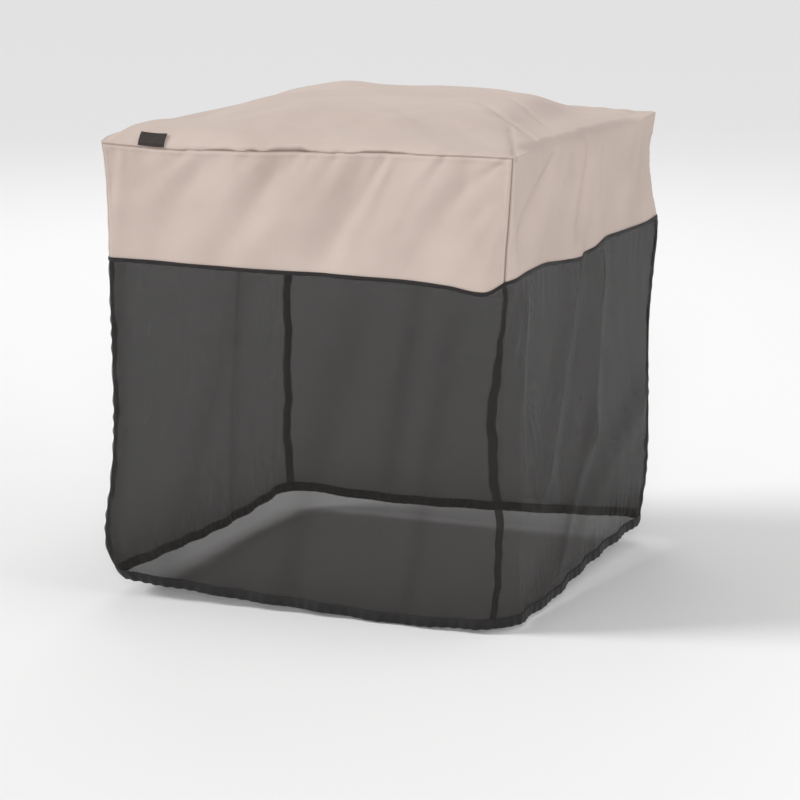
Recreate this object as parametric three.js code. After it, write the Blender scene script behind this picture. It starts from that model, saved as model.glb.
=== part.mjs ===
// Fitted square cover: a tan cloth cap and a black mesh skirt with an elastic hem.
// Millimetres, +Z up. X runs along the front face, Y runs to the back.
// The origin is under the middle of the crown, where the cover rests on what it covers.
// The sewn pieces are thin sheets in the shape in which the cover hangs:
// one centre strip over the top and down two sides, two end panels, four mesh panels,
// four lengths of binding tape and one label.

import * as THREE from 'three';

const coverSide = 864;
const capDrop = 243;
const crownRise = 62;
const half = coverSide / 2;

const capThickness = 1.5;
const meshThickness = 1;
const seamThickness = 1.5;
const hemThickness = 3;
const hemHeight = 20;
const tapeThickness = 1.2;
const tapeHalfWidth = 4;
const labelThickness = 0.8;
const labelHeight = 29;
const labelStart = 0.6;
const labelSlack = 8;
const seamGap = 0.6;
const layerGap = 0.35;
const foldReach = 48;
const softenOver = 170;
const rimZ = -(crownRise - capThickness / 2);

// Sides go round the cover: 0 front, 1 right, 2 back, 3 left. Corner k starts side k.
// Below, z is counted from the rim, so the rim is z 0.

// each corner by height: the radius of its bend, and how far it stands out along its diagonal
const corners = [
  [
    { z: 0, radius: 8, out: 7 },
    { z: -50, radius: 9, out: 3 },
    { z: -100, radius: 10, out: 1 },
    { z: -190, radius: 14, out: 0 },
    { z: -300, radius: 16, out: 0 },
    { z: -450, radius: 22, out: 0 },
    { z: -600, radius: 22, out: 0 },
    { z: -700, radius: 22, out: 9 },
    { z: -810, radius: 26, out: 30 },
    { z: -860, radius: 38, out: 30 },
    { z: -915, radius: 60, out: 6 },
  ],
  [
    { z: 0, radius: 8, out: 3 },
    { z: -76, radius: 12, out: 2 },
    { z: -130, radius: 24, out: 1 },
    { z: -180, radius: 44, out: 0 },
    { z: -243, radius: 60, out: 0 },
    { z: -430, radius: 78, out: 0 },
    { z: -560, radius: 94, out: 0 },
    { z: -700, radius: 86, out: 0 },
    { z: -800, radius: 72, out: 6 },
    { z: -915, radius: 84, out: 6 },
  ],
  [
    { z: 0, radius: 8, out: 7 },
    { z: -35, radius: 10, out: 3 },
    { z: -79, radius: 12, out: -3 },
    { z: -132, radius: 12, out: 0 },
    { z: -186, radius: 12, out: 9 },
    { z: -243, radius: 12, out: 20 },
    { z: -330, radius: 14, out: 13 },
    { z: -450, radius: 16, out: 4 },
    { z: -600, radius: 20, out: 6 },
    { z: -800, radius: 30, out: 12 },
    { z: -915, radius: 60, out: 9 },
  ],
  [
    { z: 0, radius: 8, out: 2 },
    { z: -120, radius: 14, out: -4 },
    { z: -243, radius: 26, out: 6 },
    { z: -450, radius: 40, out: 0 },
    { z: -700, radius: 44, out: 6 },
    { z: -830, radius: 50, out: 14 },
    { z: -915, radius: 76, out: 4 },
  ],
];
const cornerSpread = 150;

// the lines that run round the cover, by side and by place t along that side
const seamLine = [
  [
    { t: -432, z: -7 },
    { t: -366, z: -10 },
    { t: -311, z: -13 },
    { t: -115, z: -10 },
    { t: 98, z: -2 },
    { t: 316, z: 3 },
    { t: 432, z: 4 },
  ],
  null,
  [
    { t: -432, z: 1 },
    { t: -200, z: 4 },
    { t: 150, z: 2 },
    { t: 432, z: -2 },
  ],
  null,
];
const rimLine = [
  null,
  [
    { t: -432, z: 4 },
    { t: -300, z: 8 },
    { t: -60, z: 7 },
    { t: 140, z: 2 },
    { t: 330, z: -3 },
    { t: 432, z: 1 },
  ],
  null,
  [
    { t: -432, z: -2 },
    { t: -310, z: 8 },
    { t: -170, z: 5 },
    { t: 50, z: 4 },
    { t: 240, z: 7 },
    { t: 335, z: 11 },
    { t: 400, z: 3 },
    { t: 432, z: -7 },
  ],
];
const capEdge = [
  [
    { t: -432, z: -240 },
    { t: -200, z: -243 },
    { t: 180, z: -245 },
    { t: 340, z: -249 },
    { t: 424, z: -259 },
    { t: 432, z: -240 },
  ],
  [
    { t: -432, z: -240 },
    { t: -360, z: -230 },
    { t: -250, z: -228 },
    { t: -150, z: -237 },
    { t: -32, z: -243 },
    { t: 42, z: -241 },
    { t: 110, z: -230 },
    { t: 220, z: -227 },
    { t: 353, z: -228 },
    { t: 432, z: -221 },
  ],
  [
    { t: -432, z: -221 },
    { t: -180, z: -236 },
    { t: 160, z: -242 },
    { t: 432, z: -236 },
  ],
  [
    { t: -432, z: -236 },
    { t: -120, z: -242 },
    { t: 210, z: -236 },
    { t: 432, z: -240 },
  ],
];
const hemLine = [
  [
    { t: -432, z: -902 },
    { t: -296, z: -911 },
    { t: -163, z: -921 },
    { t: 31, z: -929 },
    { t: 204, z: -935 },
    { t: 304, z: -932 },
    { t: 432, z: -928 },
  ],
  [
    { t: -432, z: -928 },
    { t: -234, z: -930 },
    { t: -48, z: -919 },
    { t: 96, z: -909 },
    { t: 246, z: -901 },
    { t: 432, z: -891 },
  ],
  [
    { t: -432, z: -891 },
    { t: -150, z: -902 },
    { t: 180, z: -910 },
    { t: 432, z: -900 },
  ],
  [
    { t: -432, z: -900 },
    { t: -120, z: -912 },
    { t: 180, z: -906 },
    { t: 432, z: -902 },
  ],
];

// Folds of the walls: each runs from (t, z) to (endT, endZ) on its side,
// with its width and the height by which it stands out, or in where the height is below zero.
const wallFolds = [
  { side: 0, t: -20, z: -28, endT: -287, endZ: -194, width: 46, height: -5 },
  { side: 0, t: 60, z: -40, endT: -120, endZ: -215, width: 44, height: 4 },
  { side: 0, t: 174, z: -25, endT: 46, endZ: -204, width: 40, height: -5 },
  { side: 0, t: 262, z: -40, endT: 150, endZ: -225, width: 38, height: 4 },
  { side: 0, t: 333, z: -45, endT: 239, endZ: -190, width: 34, height: -4 },
  { side: 0, t: -350, z: -60, endT: -395, endZ: -210, width: 34, height: -3 },
  { side: 1, t: -198, z: -14, endT: -358, endZ: -150, width: 42, height: -7 },
  { side: 1, t: 25, z: -34, endT: -55, endZ: -185, width: 34, height: -7 },
  { side: 1, t: -29, z: -50, endT: -95, endZ: -243, width: 30, height: 8 },
  { side: 1, t: 205, z: -60, endT: 150, endZ: -225, width: 46, height: -4 },
  { side: 2, t: -200, z: -30, endT: -90, endZ: -210, width: 46, height: -5 },
  { side: 2, t: 90, z: -40, endT: 180, endZ: -220, width: 42, height: 5 },
  { side: 3, t: -120, z: -40, endT: -210, endZ: -215, width: 44, height: -5 },
  { side: 3, t: 160, z: -30, endT: 70, endZ: -215, width: 44, height: 5 },
  { side: 0, t: -330, z: -270, endT: -345, endZ: -820, width: 46, height: -6 },
  { side: 0, t: -140, z: -400, endT: -270, endZ: -860, width: 60, height: 5 },
  { side: 0, t: 150, z: -320, endT: -30, endZ: -860, width: 60, height: -5 },
  { side: 0, t: 330, z: -380, endT: 230, endZ: -870, width: 46, height: 6 },
  { side: 1, t: -50, z: -250, endT: -218, endZ: -640, width: 34, height: 12 },
  { side: 1, t: 20, z: -270, endT: -110, endZ: -650, width: 40, height: -8 },
  { side: 1, t: 102, z: -300, endT: 40, endZ: -620, width: 34, height: 10 },
  { side: 1, t: 40, z: -620, endT: -140, endZ: -830, width: 36, height: 9 },
  { side: 1, t: 385, z: -600, endT: -150, endZ: -880, width: 56, height: 9 },
  { side: 2, t: -180, z: -300, endT: -120, endZ: -820, width: 50, height: -8 },
  { side: 2, t: 90, z: -280, endT: 190, endZ: -840, width: 50, height: 9 },
  { side: 3, t: -220, z: -280, endT: -150, endZ: -840, width: 50, height: 9 },
  { side: 3, t: 130, z: -300, endT: 60, endZ: -820, width: 50, height: -8 },
];
const foldFade = 60;

// the elastic hem: how far it draws the wall in, and its gathers
const hemPull = { depth: 9, level: -915, reach: 130, gather: 3, pitch: 116, gatherReach: 90 };

// the front edge of the top is soft and rolls down to its seam: height of that roll along X
const frontRoll = [
  { x: -432, height: 0 },
  { x: -395, height: 12 },
  { x: -350, height: 27 },
  { x: -100, height: 26 },
  { x: 60, height: 23 },
  { x: 210, height: 16 },
  { x: 330, height: 8 },
  { x: 432, height: 0 },
];
const backRoll = 9;
const rollReach = 17;

// the crown: a nearly level middle that falls off steeply at crownEdge, then runs out to the square rim
const crownEdge = 0.72;
const crownSteep = 12;
const roundPower = 2;
const squarePower = 7;

// creases of the top, from (x, y) to (endX, endY)
const topFolds = [
  { x: 425, y: -425, endX: 275, endY: -170, width: 26, height: 9 },
  { x: 400, y: -330, endX: 215, endY: 10, width: 26, height: -6 },
  { x: 330, y: -400, endX: 60, endY: -150, width: 34, height: -4 },
  { x: -420, y: -405, endX: -398, endY: -372, width: 24, height: 7 },
  { x: -366, y: -350, endX: -350, endY: -300, width: 30, height: -3 },
  { x: -300, y: -210, endX: -262, endY: 40, width: 52, height: -9 },
  { x: -100, y: 240, endX: -60, endY: 240, width: 50, height: -3 },
  { x: -425, y: 425, endX: -255, endY: 250, width: 34, height: 7 },
  { x: 340, y: 330, endX: 260, endY: 230, width: 34, height: 5 },
  { x: 360, y: 372, endX: 400, endY: 400, width: 30, height: -5 },
];
const creaseAtRim = 20;
const peak = { x: -178, y: 205, width: 62, height: 7 };

// where the grids of the sheets have their lines: down the cap, down the mesh,
// and along a side as the distance from a corner's bend
const capRows = [0, 8, 18, 30, 60, 105, 155, 205];
const meshRows = [0.1, 0.22, 0.35, 0.48, 0.61, 0.73, 0.85, 0.94];
const nearCorner = [0, 14, 38, 67, 124];
const bendSteps = 2;
const middleRuns = 13;
const hemRows = 3;

// the value of a named column between the rows of a table, with soft turns at the rows
function read(table, along, column, at) {
  const rising = table[table.length - 1][along] > table[0][along] ? 1 : -1;
  const last = table.length - 1;
  if ((at - table[0][along]) * rising <= 0) return table[0][column];
  if ((at - table[last][along]) * rising >= 0) return table[last][column];
  const i = table.findIndex((row) => (row[along] - at) * rising > 0) - 1;
  const slope = (k) => {
    const a = table[Math.max(k - 1, 0)];
    const b = table[Math.min(k + 1, last)];
    return (b[column] - a[column]) / (b[along] - a[along]);
  };
  const span = table[i + 1][along] - table[i][along];
  const f = (at - table[i][along]) / span;
  const g = 1 - f;
  const start = (1 + 2 * f) * g * g * table[i][column] + f * g * g * span * slope(i);
  return start + f * f * (3 - 2 * f) * table[i + 1][column] - f * f * g * span * slope(i + 1);
}

function smooth(low, high, value) {
  const f = Math.min(Math.max((value - low) / (high - low), 0), 1);
  return f * f * (3 - 2 * f);
}

// how far a fold lifts the place (a, b), the fold running from (a0, b0) to (a1, b1)
function foldLift(fold, a, b, a0, b0, a1, b1) {
  const length = Math.hypot(a1 - a0, b1 - b0);
  const along = ((a - a0) * (a1 - a0) + (b - b0) * (b1 - b0)) / length;
  const across = ((a - a0) * (b1 - b0) - (b - b0) * (a1 - a0)) / length;
  const past = Math.max(-along, along - length, 0);
  return fold.height * Math.exp(-((across / fold.width) ** 2) - (past / foldFade) ** 2);
}

// stations along a side: in the first corner's bend, on the straight run, in the second bend
function sideStations() {
  const stations = [];
  for (let i = 0; i < bendSteps; i++) stations.push({ zone: 'first', f: i / bendSteps });
  for (const d of nearCorner) stations.push({ zone: 'near', d });
  for (let i = 1; i < middleRuns; i++) stations.push({ zone: 'run', f: i / middleRuns });
  for (const d of [...nearCorner].reverse()) stations.push({ zone: 'far', d });
  for (let i = bendSteps - 1; i >= 0; i--) stations.push({ zone: 'second', f: i / bendSteps });
  return stations;
}
const stations = sideStations();

// the wall's middle surface at a station of a side and a height
function wall(side, station, z) {
  const first = corners[side];
  const second = corners[(side + 1) % 4];
  const ra = read(first, 'z', 'radius', z);
  const rb = read(second, 'z', 'radius', z);
  const drawn = half - hemPull.depth * Math.exp(-((Math.max(z - hemPull.level, 0) / hemPull.reach) ** 2));
  const startT = -drawn + ra;
  const endT = drawn - rb;
  const reach = nearCorner[nearCorner.length - 1];
  let t = 0;
  let inset = 0;
  if (station.zone === 'first') {
    const angle = (1 - station.f) * (Math.PI / 4);
    t = startT - ra * Math.sin(angle);
    inset = ra * (1 - Math.cos(angle));
  } else if (station.zone === 'second') {
    const angle = (1 - station.f) * (Math.PI / 4);
    t = endT + rb * Math.sin(angle);
    inset = rb * (1 - Math.cos(angle));
  } else if (station.zone === 'near') {
    t = startT + station.d;
  } else if (station.zone === 'far') {
    t = endT - station.d;
  } else {
    t = startT + reach + (endT - startT - 2 * reach) * station.f;
  }
  const bend = 1 - Math.SQRT1_2;
  const fromFirst = t - (-drawn + bend * ra);
  const fromSecond = drawn - bend * rb - t;
  const open = smooth(0, foldFade, Math.min(fromFirst, fromSecond));
  const up = Math.max(z - read(hemLine[side], 't', 'z', t), 0);
  const wave = Math.sin((2 * Math.PI * t) / hemPull.pitch + side);
  let out = open * hemPull.gather * wave * Math.exp(-((up / hemPull.gatherReach) ** 2));
  for (const fold of wallFolds.filter((each) => each.side === side)) {
    out += open * foldLift(fold, t, z, fold.t, fold.z, fold.endT, fold.endZ);
  }
  const pushA = read(first, 'z', 'out', z) * Math.exp(-((fromFirst / cornerSpread) ** 2)) * Math.SQRT1_2;
  const pushB = read(second, 'z', 'out', z) * Math.exp(-((fromSecond / cornerSpread) ** 2)) * Math.SQRT1_2;
  const along = t - pushA + pushB;
  const outward = drawn - inset + out + pushA + pushB;
  const turn = (side * Math.PI) / 2;
  return new THREE.Vector3(
    along * Math.cos(turn) + outward * Math.sin(turn),
    along * Math.sin(turn) - outward * Math.cos(turn),
    z,
  );
}

// the place along a side, level with the rim, that the tables of lines are read at
function stationT(side, station) {
  if (station.zone === 'first' && station.f === 0) return -half;
  if (station.zone === 'second' && station.f === 0) return half;
  const at = wall(side, station, 0);
  const turn = (side * Math.PI) / 2;
  const t = at.x * Math.cos(turn) + at.y * Math.sin(turn);
  return THREE.MathUtils.clamp(t, -half, half);
}

// the height of the top cloth's middle surface
function topHeight(x, y) {
  const u = THREE.MathUtils.clamp((x + half) / coverSide, 0, 1);
  const v = THREE.MathUtils.clamp((y + half) / coverSide, 0, 1);
  const front = read(seamLine[0], 't', 'z', x);
  const back = read(seamLine[2], 't', 'z', -x);
  const left = read(rimLine[3], 't', 'z', -y);
  const right = read(rimLine[1], 't', 'z', y);
  const c00 = read(seamLine[0], 't', 'z', -half);
  const c10 = read(seamLine[0], 't', 'z', half);
  const c01 = read(seamLine[2], 't', 'z', half);
  const c11 = read(seamLine[2], 't', 'z', -half);
  const edges = (1 - v) * front + v * back + (1 - u) * left + u * right;
  const shared = (1 - u) * (1 - v) * c00 + u * (1 - v) * c10 + (1 - u) * v * c01 + u * v * c11;
  const fromFront = Math.max(y + half, 0);
  const fromBack = Math.max(half - y, 0);
  const rollFront = read(frontRoll, 'x', 'height', x) * (1 - Math.exp(-fromFront / rollReach)) * (1 - v);
  const away = smooth(0, foldFade, Math.min(half - x, half + x));
  const rollBack = backRoll * away * (1 - Math.exp(-fromBack / rollReach)) * v;
  const ax = Math.abs(x) / half;
  const ay = Math.abs(y) / half;
  const power = roundPower + (squarePower - roundPower) * Math.max(ax, ay) ** 3;
  const n = (ax ** power + ay ** power) ** (1 / power);
  const bell = (at) => 1 / (1 + (at / crownEdge) ** crownSteep);
  const share = Math.max(bell(n) - bell(1), 0) / (1 - bell(1));
  let lift = 0;
  for (const fold of topFolds) {
    lift += foldLift(fold, x, y, fold.x, fold.y, fold.endX, fold.endY);
  }
  lift += peak.height * Math.exp(-(((x - peak.x) ** 2 + (y - peak.y) ** 2) / peak.width ** 2));
  const open = smooth(0, foldFade, Math.min(half - Math.abs(x), half - Math.abs(y)) + creaseAtRim);
  return (edges - shared + rollFront + rollBack) * (1 - share) + crownRise * share + lift * open;
}

// the cap's rows down a wall, from the rim or top seam to the cap's lower edge
function capDepths(side, station) {
  const t = stationT(side, station);
  const top = read(seamLine[side] ?? rimLine[side], 't', 'z', t);
  const edge = read(capEdge[side], 't', 'z', t);
  const scale = (top - edge - tapeHalfWidth) / (capDrop - tapeHalfWidth);
  return [...capRows.map((d) => top - d * scale), edge + tapeHalfWidth, edge];
}

function meshDepths(side, station) {
  const t = stationT(side, station);
  const edge = read(capEdge[side], 't', 'z', t);
  const hem = read(hemLine[side], 't', 'z', t);
  const start = edge - tapeHalfWidth;
  const end = hem + hemHeight;
  return [edge, start, ...meshRows.map((f) => start + (end - start) * f), end, (end + hem) / 2, hem];
}

const capWall = (side, station) => capDepths(side, station).map((z) => wall(side, station, z));
const meshWall = (side, station) => meshDepths(side, station).map((z) => wall(side, station, z));

// A sheet's grid is a list of columns, each a list of places.
const endGrid = (side) => stations.map((station) => capWall(side, station));
const meshGrid = (side) => stations.map((station) => meshWall(side, station));

// a tape lies over the joint of cap and mesh
const tapeGrid = (side) =>
  stations.map((station) => {
    const upper = capWall(side, station).slice(-2);
    const lower = meshWall(side, station)[1];
    return [...upper, lower];
  });

// The centre strip goes up the left wall, over the top and down the right wall.
// Each of its columns starts at the front and ends at the back.
function centreGrid() {
  const count = stations.length;
  const left = stations.map((station) => capWall(3, station)).reverse();
  const right = stations.map((station) => capWall(1, station));
  const front = stations.map((station) => capWall(0, station)[0]);
  const back = stations.map((station) => capWall(2, station)[0]).reverse();
  const strip = [];
  for (let k = left[0].length - 1; k > 0; k--) strip.push(left.map((column) => column[k].clone()));
  for (let i = 0; i < count; i++) {
    const line = [];
    for (let j = 0; j < count; j++) {
      const u = i / (count - 1);
      const v = j / (count - 1);
      const x = front[i].x * (1 - v) + back[i].x * v;
      const y = left[j][0].y * (1 - u) + right[j][0].y * u;
      const place = new THREE.Vector3(x, y, topHeight(x, y));
      if (j === 0) place.copy(front[i]);
      if (j === count - 1) place.copy(back[i]);
      if (i === 0) place.copy(left[j][0]);
      if (i === count - 1) place.copy(right[j][0]);
      line.push(place);
    }
    strip.push(line);
  }
  for (let k = 1; k < right[0].length; k++) strip.push(right.map((column) => column[k].clone()));
  return softenRims(strip, left[0].length - 1, count);
}

// The rims of the centre strip have no seam: away from the corners they bend on an arc.
function softenRims(strip, wallRows, count) {
  const corner = Math.PI / 4;
  for (const rim of [wallRows, wallRows + count - 1]) {
    const inward = rim === wallRows ? 1 : -1;
    const front = strip[rim][0].y;
    const back = strip[rim][count - 1].y;
    for (let j = 1; j < count - 1; j++) {
      const tip = strip[rim][j].clone();
      const softness = smooth(0, softenOver, Math.min(tip.y - front, back - tip.y));
      for (let i = rim - capRows.length; i <= rim + capRows.length; i++) {
        const angle = corner * (1 - Math.min(strip[i][j].distanceTo(tip) / foldReach, 1));
        const along = foldReach * (angle / corner - Math.sin(angle)) * softness;
        const across = foldReach * (1 - Math.cos(angle)) * softness;
        const onWall = (i - rim) * inward < 0;
        strip[i][j].x += inward * (onWall ? across : along);
        strip[i][j].z -= onWall ? along : across;
      }
    }
  }
  return strip;
}

// the miter at a place where sheets meet: it leans so that it is one millimetre off each sheet's face
function miter(normals) {
  const sum = normals.reduce((total, each) => total.add(each), new THREE.Vector3());
  return sum.multiplyScalar(normals.length / sum.lengthSq());
}

function ownNormal(grid, i, j) {
  const a = grid[Math.min(i + 1, grid.length - 1)][j].clone().sub(grid[Math.max(i - 1, 0)][j]);
  const b = grid[i][Math.min(j + 1, grid[i].length - 1)].clone().sub(grid[i][Math.max(j - 1, 0)]);
  return a.cross(b).normalize();
}

// places that round to the same twentieth of a millimetre meet
const keysPerMm = 20;
const keyOf = (place) => place.toArray().map((each) => Math.round(each * keysPerMm)).join();

function meetingNormals(list) {
  const meets = new Map();
  for (const sheet of list) {
    sheet.normals = sheet.grid.map((column, i) => column.map((_, j) => ownNormal(sheet.grid, i, j)));
    sheet.grid.forEach((column, i) =>
      column.forEach((place, j) => {
        const key = keyOf(place);
        if (!meets.has(key)) meets.set(key, []);
        meets.get(key).push(sheet.normals[i][j]);
      }),
    );
  }
  return meets;
}

// moves the edge of a grid back from its seam, in the sheet and square to the seam
function drawBack(sheet, i, j, lean) {
  const { grid } = sheet;
  const iMax = grid.length - 1;
  const jMax = grid[0].length - 1;
  const back = new THREE.Vector3();
  const at = grid[i][j];
  const pull = (towards, along) => {
    const d = towards.clone().sub(at);
    for (const axis of [along.clone(), lean.clone()]) d.addScaledVector(axis.normalize(), -d.dot(axis));
    back.addScaledVector(d.normalize(), seamGap / 2);
  };
  const acrossRows = grid[i][Math.min(j + 1, jMax)].clone().sub(grid[i][Math.max(j - 1, 0)]);
  const acrossColumns = grid[Math.min(i + 1, iMax)][j].clone().sub(grid[Math.max(i - 1, 0)][j]);
  if (i === 0) pull(grid[1][j], acrossRows);
  if (i === iMax) pull(grid[iMax - 1][j], acrossRows);
  if (j === 0) pull(grid[i][1], acrossColumns);
  if (j === jMax) pull(grid[i][jMax - 1], acrossColumns);
  return back;
}

// a closed solid from a sheet's grid: outer face, inner face and the edges between them
function solidFromSheet(sheet, meets) {
  const { grid } = sheet;
  const columns = grid.length;
  const rows = grid[0].length;
  const positions = [];
  for (const face of [0.5, -0.5]) {
    grid.forEach((column, i) =>
      column.forEach((place, j) => {
        const lean = miter(meets.get(keyOf(place)));
        const thick = sheet.thickness(i, j, columns, rows);
        const at = place.clone().add(drawBack(sheet, i, j, lean)).addScaledVector(lean, face * thick);
        positions.push(at.x, at.y, at.z + rimZ);
      }),
    );
  }
  const faces = [];
  const at = (face, i, j) => face * columns * rows + i * rows + j;
  const quad = (a, b, c, d) => faces.push(a, b, c, a, c, d);
  for (let i = 0; i < columns - 1; i++) {
    for (let j = 0; j < rows - 1; j++) {
      quad(at(0, i, j), at(0, i + 1, j), at(0, i + 1, j + 1), at(0, i, j + 1));
      quad(at(1, i, j), at(1, i, j + 1), at(1, i + 1, j + 1), at(1, i + 1, j));
    }
  }
  for (let i = 0; i < columns - 1; i++) {
    quad(at(0, i, 0), at(1, i, 0), at(1, i + 1, 0), at(0, i + 1, 0));
    quad(at(0, i, rows - 1), at(0, i + 1, rows - 1), at(1, i + 1, rows - 1), at(1, i, rows - 1));
  }
  for (let j = 0; j < rows - 1; j++) {
    quad(at(0, 0, j), at(0, 0, j + 1), at(1, 0, j + 1), at(1, 0, j));
    quad(at(0, columns - 1, j), at(1, columns - 1, j), at(1, columns - 1, j + 1), at(0, columns - 1, j + 1));
  }
  const geometry = new THREE.BufferGeometry();
  geometry.setAttribute('position', new THREE.Float32BufferAttribute(positions, 3));
  geometry.setIndex(faces);
  geometry.computeVertexNormals();
  return geometry;
}

// grids whose columns or rows run the other way have their normals turned outwards
function faceOut(grid) {
  const i = Math.floor(grid.length / 2);
  const j = Math.floor(grid[0].length / 2);
  const middle = new THREE.Vector3(0, 0, -capDrop);
  return ownNormal(grid, i, j).dot(grid[i][j].clone().sub(middle)) < 0 ? [...grid].reverse() : grid;
}

const capCloth = { color: 0xcbb7ab, roughness: 0.85 };
const meshNet = { color: 0x232020, roughness: 0.7 };
const tapeCloth = { color: 0x232020, roughness: 0.6 };
const labelCloth = { color: 0x3a302e, roughness: 0.75 };

const plain = (thickness) => () => thickness;
const meshThick = (i, j, columns, rows) => {
  if (j >= rows - hemRows) return hemThickness;
  return i <= bendSteps || i >= columns - 1 - bendSteps ? seamThickness : meshThickness;
};
const sideNames = ['front', 'right', 'back', 'left'];
const sheets = [
  { name: 'cap_centre', grid: faceOut(centreGrid()), cloth: capCloth, thickness: plain(capThickness) },
  { name: 'cap_front', grid: faceOut(endGrid(0)), cloth: capCloth, thickness: plain(capThickness) },
  { name: 'cap_back', grid: faceOut(endGrid(2)), cloth: capCloth, thickness: plain(capThickness) },
  ...sideNames.map((side, k) => (
    { name: `mesh_${side}`, grid: faceOut(meshGrid(k)), cloth: meshNet, thickness: meshThick }
  )),
];
const clothMeets = meetingNormals(sheets);

// lays a grid on the outside of the cloth, a layer's gap off it
const raised = (grid, own) =>
  grid.map((column) =>
    column.map((place) => {
      const offset = (capThickness + own) / 2 + layerGap;
      return place.clone().addScaledVector(miter(clothMeets.get(keyOf(place))), offset);
    }),
  );

const tapes = sideNames.map((side, k) => ({
  name: `binding_${side}`,
  grid: raised(faceOut(tapeGrid(k)), tapeThickness),
  cloth: tapeCloth,
  thickness: plain(tapeThickness),
}));

// The label stands on the soft roll of the top, its lower edge at the front seam.
// It spans two neighbouring columns of the centre strip and starts just above their first places.
function labelGrid() {
  const [centre] = sheets;
  const firstX = -half + corners[0][0].radius;
  const spanned = nearCorner.slice(-2).map((d) => firstX + d);
  const columns = centre.grid.filter(([front]) => spanned.some((x) => Math.abs(front.x - x) < labelSlack));
  return raised(columns, labelThickness).map((path) => {
    const points = [path[0].clone().lerp(path[1], labelStart), path[1], path[2], path[3]];
    const below = points.slice(1).reduce((sum, each, k) => sum + each.distanceTo(points[k]), 0);
    points.push(path[3].clone().lerp(path[4], (labelHeight - below) / path[3].distanceTo(path[4])));
    return points;
  });
}

const label = {
  name: 'label_patch',
  grid: faceOut(labelGrid()),
  cloth: labelCloth,
  thickness: plain(labelThickness),
};

const cover = new THREE.Group();
cover.name = 'fitted_cover';
function place(sheet, meets) {
  const material = new THREE.MeshStandardMaterial({ ...sheet.cloth, metalness: 0 });
  const mesh = new THREE.Mesh(solidFromSheet(sheet, meets), material);
  mesh.name = sheet.name;
  cover.add(mesh);
}
sheets.forEach((sheet) => place(sheet, clothMeets));
const tapeMeets = meetingNormals(tapes);
tapes.forEach((tape) => place(tape, tapeMeets));
place(label, meetingNormals([label]));

export default cover;
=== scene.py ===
import math

import bpy
import numpy as np
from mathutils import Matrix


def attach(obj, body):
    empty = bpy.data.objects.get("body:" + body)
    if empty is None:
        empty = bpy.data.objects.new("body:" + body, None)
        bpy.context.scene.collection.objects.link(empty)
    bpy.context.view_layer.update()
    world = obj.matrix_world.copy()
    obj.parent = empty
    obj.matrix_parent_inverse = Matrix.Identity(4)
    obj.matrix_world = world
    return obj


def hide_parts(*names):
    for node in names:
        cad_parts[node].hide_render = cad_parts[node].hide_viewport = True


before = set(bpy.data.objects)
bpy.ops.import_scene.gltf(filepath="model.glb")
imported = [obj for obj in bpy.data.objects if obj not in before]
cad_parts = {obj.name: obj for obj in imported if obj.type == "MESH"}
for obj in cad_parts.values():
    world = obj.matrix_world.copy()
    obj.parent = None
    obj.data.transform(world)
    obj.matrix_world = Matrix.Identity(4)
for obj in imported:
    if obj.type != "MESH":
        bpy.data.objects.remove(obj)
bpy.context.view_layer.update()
print("frame loaded:", len(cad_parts), "nodes")

# Lengths are millimetres up to the meshes, which are in metres. Heights count from the rim of the cap.
# Sides go round the cover: 0 front, 1 right, 2 back, 3 left. Corner k starts side k.
metre = 1000.0
cover = {
    "half": 432.0,
    "rim": -61.25,  # the rim below the frame's origin
    "capThick": 1.5,
    "hemHeight": 20.0,
}
half = cover["half"]
fullSide = 2 * half

# each corner by height: radius of its bend, and how far it stands out along its diagonal
cornerForm = [
    [(-915, 60, 6), (-860, 38, 30), (-810, 26, 30), (-700, 22, 9), (-600, 22, 0), (-450, 22, 0),
     (-300, 16, 0), (-190, 14, 0), (-100, 10, 1), (-50, 9, 4), (0, 8, 10)],
    [(-915, 84, 6), (-800, 72, 6), (-700, 86, 0), (-560, 94, 0), (-430, 78, 0), (-243, 60, 0),
     (-180, 44, 0), (-130, 24, 1), (-76, 12, 4), (-30, 9, 9), (0, 8, 13)],
    [(-915, 60, 9), (-800, 30, 12), (-600, 20, 6), (-450, 16, 4), (-330, 14, 13), (-243, 12, 20),
     (-186, 12, 9), (-132, 12, 0), (-79, 12, -3), (-35, 10, 4), (0, 8, 10)],
    [(-915, 76, 4), (-830, 50, 14), (-700, 44, 6), (-450, 40, 0), (-243, 26, 6),
     (-120, 14, -4), (0, 8, 2)],
]
# lines round the cover, by place t along each side: top seams or rims, the cap's lower edge, the hem
topLine = [
    [(-432, -7), (-366, -10), (-311, -13), (-115, -10), (98, -2), (316, 3), (432, 4)],
    [(-432, 4), (-300, 8), (-60, 7), (140, 2), (330, -3), (432, 1)],
    [(-432, 1), (-200, 4), (150, 2), (432, -2)],
    [(-432, -2), (-310, 8), (-170, 5), (50, 4), (240, 7), (335, 11), (400, 3), (432, -7)],
]
capEdge = [
    [(-432, -240), (-200, -243), (180, -245), (310, -251), (392, -260), (432, -240)],
    [(-432, -240), (-360, -230), (-250, -228), (-150, -237), (-32, -243), (42, -241), (110, -230),
     (220, -227), (353, -228), (432, -221)],
    [(-432, -221), (-180, -236), (160, -242), (432, -236)],
    [(-432, -236), (-120, -242), (210, -236), (432, -240)],
]
hemLine = [
    [(-432, -902), (-296, -911), (-163, -921), (31, -929), (204, -935), (304, -932), (432, -928)],
    [(-432, -928), (-234, -930), (-48, -919), (96, -909), (246, -901), (432, -891)],
    [(-432, -891), (-150, -902), (180, -910), (432, -900)],
    [(-432, -900), (-120, -912), (180, -906), (432, -902)],
]
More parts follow.
